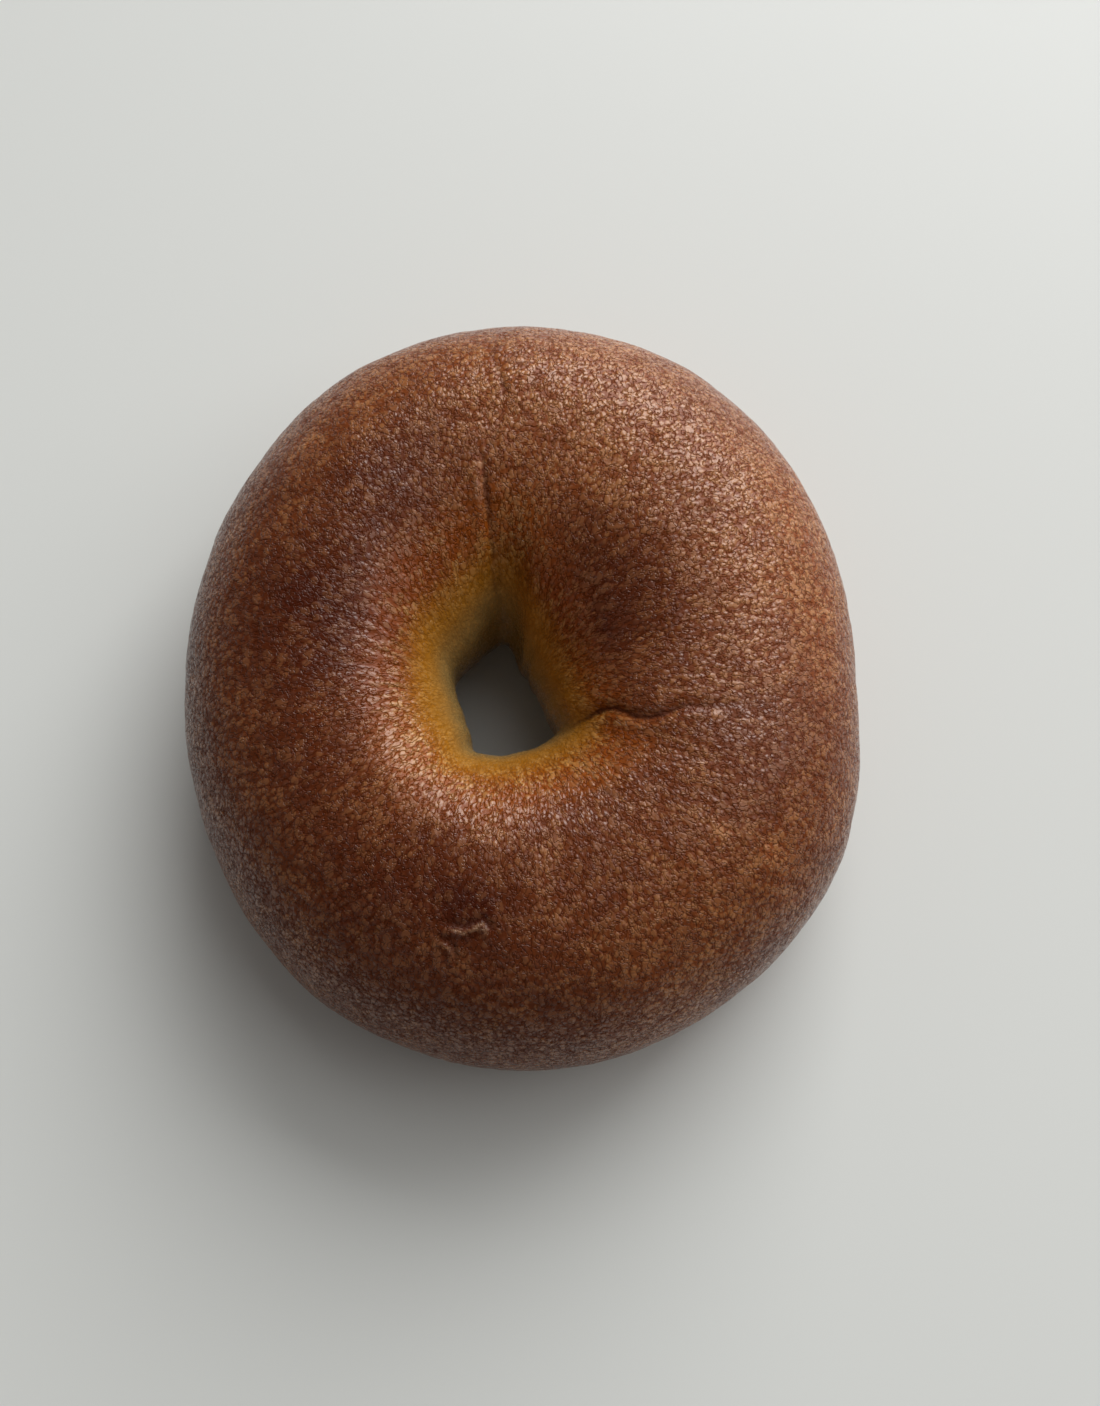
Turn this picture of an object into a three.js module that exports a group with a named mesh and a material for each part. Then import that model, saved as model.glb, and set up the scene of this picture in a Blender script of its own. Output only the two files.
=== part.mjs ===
/**
 * A plain bagel: one fat, slightly egg-shaped ring of baked dough with a small off-centre hole.
 *
 * Millimetres, +Z up. The ring lies flat on its base at z = 0 and the origin is the middle of its
 * footprint. +Y is the side where the rope of dough was pinched together, +X is to the right.
 * Bearings run anticlockwise from +X when seen from above.
 */
import * as THREE from "three";
import { ParametricGeometry } from "three/addons/geometries/ParametricGeometry.js";
import { mergeVertices } from "three/addons/utils/BufferGeometryUtils.js";

// Outline of the ring seen from above: radii from the origin, one every 30 degrees from +X.
const OUTER_RADII = [49, 51, 54.5, 55, 54, 51, 49, 50.5, 53.5, 55, 54, 52.5];

// Outline of the hole at its waist: radii from the middle of the hole, one every 15 degrees. It
// runs out to a point where the rope of dough was pinched together.
const HOLE_CENTRE = new THREE.Vector2(-2.5, -2.5);
const HOLE_RADII = [
  5.5, 5, 5, 5, 6, 7, 11, 10, 9, 8.75, 8.5, 7.5, 6.75, 6.25, 6.5, 7, 8.75, 8.5, 8.25, 8, 8.25, 8.5, 8.5, 6.25,
];

// Height of the crown, one every 60 degrees: the ring proved a little higher at the front.
const CROWN_HEIGHTS = [37.5, 37.5, 37, 37, 38, 38];

// Where the crown lies, as a share of the arm's width from outside in, one every 30 degrees.
const CROWN_PLACES = [0.54, 0.51, 0.46, 0.41, 0.42, 0.53, 0.58, 0.6, 0.62, 0.6, 0.56, 0.54];

// Cross-section of the ring: widest at its waists, crowned above them, tucked under below them.
const OUTER_WAIST_HEIGHT = 16;
const HOLE_WAIST_HEIGHT = 17;
const CROWN_FULLNESS = 2.15; // superellipse exponent, 2 is a plain ellipse
const OUTER_TUCK_WIDTH = 9;
const HOLE_TUCK_WIDTH = 7;
const TUCK_FULLNESS = 2.2;

// Creases in the top, each along a route seen from above that starts at the hole and fades away.
const PINCH_SEAM = {
  route: [new THREE.Vector2(-3, 8), new THREE.Vector2(-4, 17), new THREE.Vector2(-5, 29)],
  depth: 1.5,
  halfWidth: 2.2,
};
const SIDE_FOLD = {
  route: [new THREE.Vector2(5, -9), new THREE.Vector2(12, -7.5), new THREE.Vector2(32, -7)],
  depth: 0.8,
  halfWidth: 1.8,
};
const CREASES = [PINCH_SEAM, SIDE_FOLD];
const CREASE_FOOT_HEIGHT = 10; // below this height the creases run out, so the base stays flat

// Steps of the surface around the ring, and along each stretch of its section.
const STEPS_AROUND = 104;
const CROWN_STEPS = 26;
const TUCK_STEPS = 7;
const BASE_STEPS = 1;

const CRUST_COLOUR = 0x8f5530;
const CRUST_ROUGHNESS = 0.45;

/** A smooth closed curve through values spaced evenly round a full turn (Catmull-Rom). */
function aroundTheTurn(values, bearing) {
  const count = values.length;
  const place = (bearing / (2 * Math.PI)) * count;
  const start = Math.floor(place);
  const t = place - start;
  const [before, here, next, after] = [-1, 0, 1, 2].map((k) => values[(start + k + count) % count]);
  const slopeHere = (next - before) / 2;
  const slopeNext = (after - here) / 2;
  return (
    here +
    slopeHere * t +
    (3 * (next - here) - 2 * slopeHere - slopeNext) * t ** 2 +
    (2 * (here - next) + slopeHere + slopeNext) * t ** 3
  );
}

/** Point of a superellipse of unit size at an angle: x and y run like the cosine and the sine. */
function superellipse(angle, fullness) {
  const round = (value) => Math.sign(value) * Math.abs(value) ** (2 / fullness);
  return { x: round(Math.cos(angle)), y: round(Math.sin(angle)) };
}

/** The arm of dough at a bearing: its edges seen from above, its width, and its crown's height and place. */
function armAt(bearing) {
  const direction = new THREE.Vector2(Math.cos(bearing), Math.sin(bearing));
  const outer = direction.clone().multiplyScalar(aroundTheTurn(OUTER_RADII, bearing));
  const inner = direction.clone().multiplyScalar(aroundTheTurn(HOLE_RADII, bearing));
  inner.add(HOLE_CENTRE);
  return {
    outer,
    inner,
    width: outer.distanceTo(inner),
    crown: aroundTheTurn(CROWN_HEIGHTS, bearing),
    crownPlace: aroundTheTurn(CROWN_PLACES, bearing),
  };
}

// Each stretch of the section gives, for a share from 0 to 1, how far across the arm the surface
// lies (0 at the outer edge, 1 at the hole's edge) and its height.

function crownStretch(share, arm) {
  const { x, y } = superellipse(share * Math.PI, CROWN_FULLNESS);
  const across = x >= 0 ? arm.crownPlace * (1 - x) : arm.crownPlace - (1 - arm.crownPlace) * x;
  const waist = THREE.MathUtils.lerp(OUTER_WAIST_HEIGHT, HOLE_WAIST_HEIGHT, across);
  return { across, height: waist + (arm.crown - waist) * y };
}

function holeTuckStretch(share, arm) {
  const { x, y } = superellipse((share * Math.PI) / 2, TUCK_FULLNESS);
  return { across: 1 - (HOLE_TUCK_WIDTH / arm.width) * (1 - x), height: HOLE_WAIST_HEIGHT * (1 - y) };
}

function baseStretch(share, arm) {
  const from = 1 - HOLE_TUCK_WIDTH / arm.width;
  const to = OUTER_TUCK_WIDTH / arm.width;
  return { across: THREE.MathUtils.lerp(from, to, share), height: 0 };
}

function outerTuckStretch(share, arm) {
  const { x, y } = superellipse((share * Math.PI) / 2, TUCK_FULLNESS);
  return { across: (OUTER_TUCK_WIDTH / arm.width) * (1 - y), height: OUTER_WAIST_HEIGHT * (1 - x) };
}

const SECTION = [
  { steps: CROWN_STEPS, trace: crownStretch },
  { steps: TUCK_STEPS, trace: holeTuckStretch },
  { steps: BASE_STEPS, trace: baseStretch },
  { steps: TUCK_STEPS, trace: outerTuckStretch },
];
const SECTION_STEPS = SECTION.reduce((sum, stretch) => sum + stretch.steps, 0);

/** The section's surface at a step: the stretch that holds the step traces it. */
function sectionPoint(step, arm) {
  let left = step % SECTION_STEPS;
  const stretch = SECTION.find(({ steps }) => {
    if (left < steps) return true;
    left -= steps;
    return false;
  });
  return stretch.trace(left / stretch.steps, arm);
}

/** How deep a crease is at a place seen from above: full at its start, nothing at its end. */
function creaseDepth({ route, depth, halfWidth }, place) {
  const legs = route.length - 1;
  let nearest = { distance: Infinity, progress: 0 };
  for (let leg = 0; leg < legs; leg += 1) {
    const along = route[leg + 1].clone().sub(route[leg]);
    const share = THREE.MathUtils.clamp(place.clone().sub(route[leg]).dot(along) / along.lengthSq(), 0, 1);
    const distance = place.distanceTo(route[leg].clone().addScaledVector(along, share));
    if (distance < nearest.distance) nearest = { distance, progress: (leg + share) / legs };
  }
  return depth * (1 - nearest.progress ** 2) * Math.exp(-((nearest.distance / halfWidth) ** 2));
}

/** The bagel's surface for a share of the turn and a share of the section. */
function bagelSurface(turnShare, sectionShare, target) {
  const arm = armAt((turnShare % 1) * 2 * Math.PI);
  const { across, height } = sectionPoint(sectionShare * SECTION_STEPS, arm);
  const place = arm.outer.clone().lerp(arm.inner, across);
  const core = arm.outer.clone().lerp(arm.inner, arm.crownPlace);

  target.set(place.x, place.y, height);
  const inward = new THREE.Vector3(core.x, core.y, arm.crown / 2).sub(target).normalize();
  const footing = THREE.MathUtils.clamp(height / CREASE_FOOT_HEIGHT, 0, 1);
  const depth = CREASES.reduce((sum, crease) => sum + creaseDepth(crease, place), 0);
  target.addScaledVector(inward, depth * footing);
}

/** The closed ring, its shared vertices merged, standing on z = 0 over the middle of its footprint. */
function bagelGeometry() {
  const surface = new ParametricGeometry(bagelSurface, STEPS_AROUND, SECTION_STEPS);
  surface.deleteAttribute("normal");
  surface.deleteAttribute("uv");
  const ring = mergeVertices(surface);
  ring.computeBoundingBox();
  const middle = ring.boundingBox.getCenter(new THREE.Vector3());
  ring.translate(-middle.x, -middle.y, 0);
  ring.computeVertexNormals();
  return ring;
}

const crust = new THREE.MeshStandardMaterial({
  name: "crust",
  color: CRUST_COLOUR,
  roughness: CRUST_ROUGHNESS,
  metalness: 0,
});

const bagel = new THREE.Mesh(bagelGeometry(), crust);
bagel.name = "bagel";

const group = new THREE.Group();
group.add(bagel);

export default group;
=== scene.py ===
"""A plain bagel on a pale table: a browned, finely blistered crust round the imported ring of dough.

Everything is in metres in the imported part's own frame: +Z up, the bagel flat on z = 0, +Y towards
the side where the rope of dough was pinched together. Bearings run anticlockwise from +X.
"""

import logging
import math
from dataclasses import dataclass, field
from enum import Enum
from typing import Any, Iterable, Optional, Sequence, Union

import bpy
import numpy as np
from mathutils import Euler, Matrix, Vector


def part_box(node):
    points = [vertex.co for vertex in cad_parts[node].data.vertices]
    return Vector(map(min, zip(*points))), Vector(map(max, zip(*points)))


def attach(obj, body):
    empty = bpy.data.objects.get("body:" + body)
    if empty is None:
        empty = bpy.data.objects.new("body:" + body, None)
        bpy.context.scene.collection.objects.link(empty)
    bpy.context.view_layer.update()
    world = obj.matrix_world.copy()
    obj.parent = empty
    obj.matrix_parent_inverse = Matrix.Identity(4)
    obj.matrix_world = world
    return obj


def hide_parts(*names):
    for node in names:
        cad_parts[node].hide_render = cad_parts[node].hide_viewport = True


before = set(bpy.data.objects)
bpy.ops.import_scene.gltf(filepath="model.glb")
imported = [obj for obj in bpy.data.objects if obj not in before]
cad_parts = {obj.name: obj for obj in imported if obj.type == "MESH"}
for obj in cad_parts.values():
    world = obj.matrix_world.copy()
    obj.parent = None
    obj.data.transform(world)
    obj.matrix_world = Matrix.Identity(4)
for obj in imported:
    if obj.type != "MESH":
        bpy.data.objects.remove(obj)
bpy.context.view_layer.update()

MM = 0.001
FULL_TURN = 2 * math.pi
NODE, BODY, SLOT = "bagel", "root", "crust"
BAKE_MAP = "OFBake"
NODE_SPACING = 180
SEED_STEP = (1.3, 0.7, 0.4)

log = logging.getLogger("bagel")

Colour = tuple[float, float, float]
Point = tuple[float, float]
Ramp = tuple[float, ...]  # where a smooth step starts and ends, then what it gives there
Socket = bpy.types.NodeSocket
Plug = Union[Socket, float, Sequence[float]]


def curve_between(
    before: np.ndarray, here: np.ndarray, after: np.ndarray, beyond: np.ndarray, t: np.ndarray
) -> np.ndarray:
    """Runs a smooth curve (Catmull-Rom) from one knot to the next.

    Args:
        before: The knot before the stretch.
        here: The knot at its start.
        after: The knot at its end.
        beyond: The knot after it.
        t: How far along the stretch, from 0 to 1.

    Returns:
        The curve's points.
    """
    slope, next_slope = (after - before) / 2, (beyond - here) / 2
    rise = 3 * (after - here) - 2 * slope - next_slope
    fall = 2 * (here - after) + slope + next_slope
    return here + slope * t + rise * t**2 + fall * t**3


def around_the_turn(values: Sequence[float], bearings: np.ndarray) -> np.ndarray:
    """Reads a smooth closed curve through values spaced evenly round a full turn.

    Args:
        values: The values, the first one at bearing 0.
        bearings: Bearings in radians.

    Returns:
        The curve's value at each bearing.
    """
    knots = np.asarray(values, float)
    place = (bearings / FULL_TURN * len(knots)) % len(knots)
    start = np.floor(place).astype(int)
    near = (knots[(start + k) % len(knots)] for k in (-1, 0, 1, 2))
    return curve_between(*near, place - start)


def superellipse(angle: np.ndarray, fullness: float) -> tuple[np.ndarray, np.ndarray]:
    """Walks a unit superellipse.

    Args:
        angle: Angles in radians.
        fullness: The exponent: 2 is a circle, more is squarer.

    Returns:
        The two coordinates, which run like the cosine and the sine.
    """
    x, y = np.cos(angle), np.sin(angle)
    power = 2 / fullness
    return np.sign(x) * np.abs(x) ** power, np.sign(y) * np.abs(y) ** power


def bell(distance: np.ndarray, reach: float) -> np.ndarray:
    """Returns a smooth bell: 1 at distance 0, fading out past its reach."""
    return np.exp(-((distance / reach) ** 2))


def fade(values: np.ndarray, start: float, end: float) -> np.ndarray:
    """Returns a straight ramp from 0 to 1 as values go from start to end."""
    return np.clip((values - start) / (end - start), 0, 1)


def placed(name: str, data: bpy.types.ID) -> bpy.types.Object:
    """Adds an object to the scene.

    Args:
        name: Its name.
        data: Its mesh, lamp or lens.

    Returns:
        The object.
    """
    thing = bpy.data.objects.new(name, data)
    bpy.context.scene.collection.objects.link(thing)
    return thing


class Stretch(Enum):
    """Stretches of the ring's section, in the order that they are walked."""

    OUTER_TUCK = "from the base up to the outer waist"
    CROWN = "from the outer waist over the crown to the hole's waist"
    HOLE_TUCK = "from the hole's waist down to the base"
    BASE = "across the flat base"


@dataclass(frozen=True)
class Surface:
    """The smooth ring's surface as a grid: bearings by steps of the section."""

    points: np.ndarray  # the grid's points
    across: np.ndarray  # how far across the arm each point lies, from outside in
    bearings: np.ndarray  # the bearing of each row of the grid
    stretches: np.ndarray  # the stretch that each column of the grid belongs to, by its place in Stretch

    def on(self, stretch: Stretch) -> np.ndarray:
        """Returns which points of the grid lie on a stretch."""
        return np.broadcast_to(self.stretches == list(Stretch).index(stretch), self.across.shape)

    def corners(self) -> np.ndarray:
        """Finds the corners of the grid's faces.

        Returns:
            The row and column of each of a face's four corners.
        """
        around, along = self.across.shape
        row, column = np.meshgrid(np.arange(around), np.arange(along), indexing="ij")
        rows = np.stack([row, row, row + 1, row + 1], -1)
        columns = np.stack([column, column + 1, column + 1, column], -1)
        return np.stack([rows, columns], -1).reshape(-1, 4, 2)


@dataclass(frozen=True)
class RingForm:
    """The smooth ring of dough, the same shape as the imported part."""

    # outline's radii from the origin, one every 30 degrees
    outer_radii: tuple[float, ...] = (49, 51, 54.5, 55, 54, 51, 49, 50.5, 53.5, 55, 54, 52.5)
    hole_centre: Point = (-2.5 * MM, -2.5 * MM)  # middle of the hole
    # the hole's radii at its waist from its middle, one every 15 degrees
    hole_radii: tuple[float, ...] = (
        *(5.5, 5, 5, 5, 6, 7, 11, 10, 9, 8.75, 8.5, 7.5),
        *(6.75, 6.25, 6.5, 7, 8.75, 8.5, 8.25, 8, 8.25, 8.5, 8.5, 6.25),
    )
    # height of the crown, one every 60 degrees
    crown_heights: tuple[float, ...] = (37.5, 37.5, 37, 37, 38, 38)
    outer_waist: float = 16 * MM  # height at which the outside is widest
    hole_waist: float = 17 * MM  # height at which the hole is narrowest
    # where the crown lies across the arm, from outside in, one every 30 degrees
    crown_places: tuple[float, ...] = (
        *(0.54, 0.51, 0.46, 0.41, 0.42, 0.53),
        *(0.58, 0.6, 0.62, 0.6, 0.56, 0.54),
    )
    crown_fullness: float = 2.15  # superellipse exponent of the top
    outer_tuck: float = 9 * MM  # width by which the outside tucks under
    hole_tuck: float = 7 * MM  # width by which the hole's wall tucks under
    tuck_fullness: float = 2.2  # superellipse exponent of both tucks
    steps_around: int = 476  # faces round the ring
    steps: tuple[int, ...] = (22, 158, 20, 6)  # faces along each stretch of the section
    # share of the finish map's height that each stretch fills
    map_shares: tuple[float, ...] = (0.08, 0.78, 0.08, 0.06)
    map_margin: float = 0.006  # width of the finish map's empty margin
    # where faces stand closer round the ring: bearing and reach in degrees, and how much
    crowds: tuple[tuple[float, float, float], ...] = ((94, 5, 1.6), (336, 20, 0.5), (259, 7, 1.4))
    # width, crown height and crown place of the arm that spaces the steps
    typical_arm: tuple[float, ...] = (44 * MM, 37.5 * MM, 0.5)
    # points at which a stretch, and the whole turn, is measured before it is divided
    samples: tuple[int, int] = (2000, 7201)

    def edges(self, bearings: np.ndarray) -> tuple[np.ndarray, np.ndarray]:
        """Finds the arm's outer edge and its edge at the hole, seen from above.

        Args:
            bearings: Bearings in radians.

        Returns:
            Two arrays of points, one row for each bearing.
        """
        direction = np.stack([np.cos(bearings), np.sin(bearings)], -1)
        outer = direction * around_the_turn(self.outer_radii, bearings)[:, None] * MM
        inner = direction * around_the_turn(self.hole_radii, bearings)[:, None] * MM
        return outer, inner + np.array(self.hole_centre)

    def trace(
        self, stretch: Stretch, share: np.ndarray, width: np.ndarray, crown: np.ndarray, place: np.ndarray
    ) -> tuple[np.ndarray, np.ndarray]:
        """Walks one stretch of the section.

        Args:
            stretch: Which stretch.
            share: How far along it, from 0 to 1.
            width: The arm's width.
            crown: The crown's height.
            place: Where the crown lies across the arm, from outside in.

        Returns:
            How far across the arm the surface lies, from outside in, and its height.
        """
        if stretch is Stretch.CROWN:
            x, y = superellipse(share * math.pi, self.crown_fullness)
            across = np.where(x >= 0, place * (1 - x), place - (1 - place) * x)
            waist = self.outer_waist + (self.hole_waist - self.outer_waist) * across
            return across, waist + (crown - waist) * y
        x, y = superellipse(share * math.pi / 2, self.tuck_fullness)
        if stretch is Stretch.HOLE_TUCK:
            return 1 - self.hole_tuck / width * (1 - x), self.hole_waist * (1 - y)
        if stretch is Stretch.OUTER_TUCK:
            return self.outer_tuck / width * (1 - y), self.outer_waist * (1 - x)
        start, end = 1 - self.hole_tuck / width, self.outer_tuck / width
        return start + (end - start) * share, np.zeros_like(share)

    def even_shares(self, stretch: Stretch, count: int) -> np.ndarray:
        """Spaces the steps of a stretch evenly along its length.

        Args:
            stretch: Which stretch.
            count: The number of steps.

        Returns:
            The share of the stretch at which each step starts.
        """
        fine = np.linspace(0, 1, self.samples[0])
        width, crown, place = np.array(self.typical_arm)
        across, height = self.trace(stretch, fine, width, crown, place)
        steps = np.hypot(np.diff(across) * width, np.diff(height))
        length = np.concatenate([[0], np.cumsum(steps)])
        return np.interp(np.arange(count) / count * length[-1], length, fine)

    def bearings(self) -> np.ndarray:
        """Places the sections round the ring.

        Returns:
            Their bearings in radians, closer together where the crust has its folds.
        """
        turn = np.linspace(0, 360, self.samples[1])
        density = np.ones_like(turn)
        for middle, reach, gain in self.crowds:
            density += gain * bell((turn - middle + 180) % 360 - 180, reach)
        passed = np.concatenate([[0], np.cumsum((density[1:] + density[:-1]) / 2)])
        places = np.arange(self.steps_around) / self.steps_around * passed[-1]
        return np.radians(np.interp(places, passed, turn))

    def surface(self) -> Surface:
        """Lays the grid of the whole surface.

        Returns:
            The grid.
        """
        bearings = self.bearings()
        outer, inner = self.edges(bearings)
        width = np.linalg.norm(outer - inner, axis=1)[:, None]
        crown = around_the_turn(self.crown_heights, bearings)[:, None] * MM
        place = around_the_turn(self.crown_places, bearings)[:, None]
        walked = []
        for stretch, count in zip(Stretch, self.steps):
            shares = self.even_shares(stretch, count)[None]
            walked.append(np.broadcast_arrays(*self.trace(stretch, shares, width, crown, place)))
        across, height = (np.concatenate(parts, 1) for parts in zip(*walked))
        plan = outer[:, None] + (inner - outer)[:, None] * across[..., None]
        stretches = np.repeat(np.arange(len(self.steps)), self.steps)
        return Surface(np.concatenate([plan, height[..., None]], -1), across, bearings, stretches)

    def unrolled(self, surface: Surface) -> np.ndarray:
        """Lays the ring out flat for its finish map: two half rings, one above the other.

        Args:
            surface: The ring's grid.

        Returns:
            The map's place for each corner of each face.
        """
        margin = self.map_margin
        ends = np.concatenate([[0], np.cumsum(self.map_shares)])
        starts = np.concatenate([[0], np.cumsum(self.steps)])
        corners = surface.corners()
        height = np.interp(corners[..., 1], starts, ends)
        half = self.steps_around // 2
        lower = corners[:, :1, 0] >= half
        along = (corners[..., 0] - np.where(lower, half, 0)) / half
        place = np.stack([along, height / 2], -1)
        place = place * (1 - 2 * margin) + margin
        place[..., 1] += np.where(lower, 0.5, 0) - margin / 2
        return place


class Side(Enum):
    """The side of a fold's route, walked from its start, on which its lip stands."""

    LEFT = 1
    RIGHT = -1


@dataclass(frozen=True)
class Fold:
    """A fold in the crust: a groove along a route seen from above, with a low lip on one side.

    Its sizes are in millimetres.
    """

    route: tuple[Point, ...]  # points along the fold, from its deep end to where it fades
    depth: float  # depth of the groove
    reach: float  # how far the groove reaches to each side
    lip: float = 0.0  # height of the lip beside the groove
    lip_side: Side = Side.LEFT  # the side on which the lip stands
    crack: float = 0.0  # darkness of the shade painted along its middle, from 0 to 1
    start_fade: float = 0.0  # share of the route over which the fold begins, 0 where it begins at once
    end_fade: float = 1.0  # share of the route over which it ends
    lip_place: float = 1.4  # how many reaches from the route the lip's crest stands
    pale_lip: float = 0.6  # a lip this high has a wholly pale crust
    line_steps: int = 8  # legs of the fine line between two points of the route

    def line(self) -> np.ndarray:
        """Draws the route as a fine line through its points.

        Returns:
            The line's points.
        """
        knots = np.array(self.route) * MM
        ends = np.concatenate([[2 * knots[0] - knots[1]], knots, [2 * knots[-1] - knots[-2]]])
        t = np.linspace(0, 1, self.line_steps, endpoint=False)[:, None]
        legs = [curve_between(*near, t) for near in zip(ends, ends[1:], ends[2:], ends[3:])]
        return np.concatenate([*legs, knots[-1:]])

    def measure(self, plan: np.ndarray) -> tuple[np.ndarray, np.ndarray]:
        """Measures how far points lie from the fold.

        Args:
            plan: Points seen from above, one a row.

        Returns:
            The signed distance from the route, positive to its left, and the fold's strength there.
        """
        line = self.line()
        best = np.full(len(plan), np.inf)
        signed = np.zeros(len(plan))
        progress = np.zeros(len(plan))
        legs = len(line) - 1
        for leg in range(legs):
            start, along = line[leg], line[leg + 1] - line[leg]
            share = np.clip((plan - start) @ along / (along @ along), 0, 1)
            away = plan - start - share[:, None] * along
            distance = np.hypot(away[:, 0], away[:, 1])
            turn = along[0] * away[:, 1] - along[1] * away[:, 0]
            nearer = distance < best
            best = np.where(nearer, distance, best)
            signed = np.where(nearer, np.where(turn >= 0, distance, -distance), signed)
            progress = np.where(nearer, (leg + share) / legs, progress)
        left = np.clip((1 - progress) / self.end_fade, 0, 1)
        strength = left * (2 - left)
        if self.start_fade:
            strength = strength * np.clip(progress / self.start_fade, 0, 1)
        return signed, strength

    def beside(self, signed: np.ndarray) -> np.ndarray:
        """Returns how much points lie on the fold's lip, from 0 to 1."""
        reach = self.reach * MM
        return bell(signed * self.lip_side.value - self.lip_place * reach, reach)

    def relief(self, signed: np.ndarray, strength: np.ndarray) -> np.ndarray:
        """Gives the height of the crust beside the fold, in metres."""
        groove = self.depth * MM * bell(signed, self.reach * MM)
        return (self.lip * MM * self.beside(signed) - groove) * strength

    def flaky(self, signed: np.ndarray, strength: np.ndarray) -> np.ndarray:
        """Gives how pale the crust is beside the fold, from 0 to 1, more on a higher lip: flaked crust, and
        on the pinched seam's swell painted sheen.
        """
        return self.beside(signed) * strength * np.minimum(self.lip / self.pale_lip, 1)


PINCH_ROUTE = ((-3.6, 12.7), (-3.9, 16), (-4.5, 20.8), (-4.9, 23.5), (-5.2, 27), (-5.6, 30))
SIDE_ROUTE = (
    *((6, -8.6), (9, -7.7), (12.5, -7.1), (16.0, -8.7)),
    *((19, -8.7), (22.5, -7.5), (26.3, -7.5), (31.5, -7)),
)
SCAR_ROUTE = ((-11.2, -37.0), (-9.2, -37.2), (-7.2, -37.5), (-4.9, -36.6), (-4.1, -37.4), (-3.0, -38.1))
TEAR_ROUTE = ((-11.2, -38.6), (-9.6, -39.4), (-8.7, -40.4), (-8.5, -42.4))

# Each fold's route, depth, reach and lip, and where they differ from the usual, its other fields.
PINCH = (
    Fold(((-2.6, 6), (-3.2, 14), (-3.6, 24)), 1.3, 3.4),
    # the swell beside the pinched seam: its pale lip is painted sheen
    Fold(PINCH_ROUTE, 0.0, 0.9, 0.3, start_fade=0.6, end_fade=0.5),
    Fold(((-3.0, 7), (-3.1, 10.2), *PINCH_ROUTE), 0.4, 0.6, crack=0.65, start_fade=0.7, end_fade=0.25),
    Fold(((-3.2, 11), (-3.1, 13), (-3.5, 15)), 0.2, 0.35, 0.4, crack=0.3, start_fade=0.4),
)
SIDE_SEAM = Fold(SIDE_ROUTE, 0.5, 0.8, 0.1, Side.RIGHT, crack=0.85, start_fade=0.2, end_fade=0.6)
RIM_WRINKLES = (
    Fold(((-5.0, 29), (-3.5, 32.2), (-2.2, 36.6)), 0.25, 0.6, 0.1, crack=0.3, start_fade=0.2),
    Fold(((-2.0, 37), (-2.9, 40.8), (-4.5, 45.9)), 0.3, 0.6, 0.12, crack=0.4, start_fade=0.2),
    Fold(((0.5, 37.5), (2.5, 41), (4, 45)), 0.2, 0.6, 0.1, crack=0.2, start_fade=0.3),
)
SMALL_CREASES = (
    Fold(((10.4, -19.3), (12.0, -19.6), (13.9, -20.3)), 0.25, 0.6, 0.15, Side.RIGHT, 0.6, 0.4),
    Fold(((12.8, -21.7), (14.5, -21.4), (16.1, -21.6)), 0.12, 0.45, 0.1, Side.RIGHT, 0.2, 0.3),
    Fold(((22.6, -14.8), (25, -15.1), (27.4, -15)), 0.14, 0.5, 0.12, Side.RIGHT, 0.25, 0.3),
    Fold(((24, -19.6), (26.4, -19.9), (29, -19.7)), 0.12, 0.5, 0.1, Side.RIGHT, 0.2, 0.3),
)
NICKS = (
    Fold(((18.0, 31.9), (18.8, 31.0), (19.3, 30.0)), 0.35, 0.6, crack=0.8, start_fade=0.4),
    Fold(((24.8, 20.2), (26.6, 20.8), (28.4, 21.3)), 0.25, 0.45, crack=0.6, start_fade=0.3),
    Fold(((36.1, 20.3), (36.9, 19.7)), 0.3, 0.4, crack=0.9, start_fade=0.3),
)
SCARS = (
    Fold(SCAR_ROUTE, 0.45, 0.5, 0.42, Side.RIGHT, crack=0.6, start_fade=0.3, end_fade=0.25),
    Fold(TEAR_ROUTE, 0.35, 0.35, 0.4, Side.RIGHT, crack=0.4, start_fade=0.2, end_fade=0.3),
)
FOLDS = (*PINCH, SIDE_SEAM, *RIM_WRINKLES, *SMALL_CREASES, *NICKS, *SCARS)


@dataclass(frozen=True)
class BakeAndShadingPatch:
    """A broad patch of crust painted darker or lighter than the rest: partly crust that baked so, partly
    painted shade and painted light.
    """

    place: Point  # its middle in millimetres, seen from above
    reach: float  # how far it reaches
    tone: float  # lighter above 0, darker below


# Each row's place and reach in millimetres, and its tone.
# The darker rows are partly painted shade where the crust faces away from the window, the lighter rows
# partly painted light and sheen where it faces it; the four smallest rows are golden blotches.
BAKE_AND_SHADING_PATCHES = tuple(
    BakeAndShadingPatch((x, y), reach * MM, tone)
    for x, y, reach, tone in (
        *((38, 20, 24, 0.9), (-17, 45, 11, 0.5), (12, 46, 15, 0.8), (0, 34, 13, 0.3)),
        *((33, -12, 11, -0.35), (20, -46, 13, 0.5), (-33, 36, 10, 0.3), (-19, 25, 11, -0.45)),
        *((-46, 14, 8, 0.4), (-40, -18, 8, 0.1), (-15, -14, 7, 0.9), (-6, -20, 8, 0.35)),
        *((-32, 6, 17, -0.8), (-27, -16, 12, -0.4), (-17, -33, 13, -0.7), (5, -42, 13, -0.5)),
        *((-6.5, -35.6, 3, -0.7), (13, 8, 11, -1.1), (-29.7, 31.9, 1.4, 0.8)),
        *((-38, -20.1, 1.4, 0.8), (33.9, -26.9, 1.8, 0.8), (26.9, -24.7, 1.4, 0.8)),
    )
)


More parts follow.
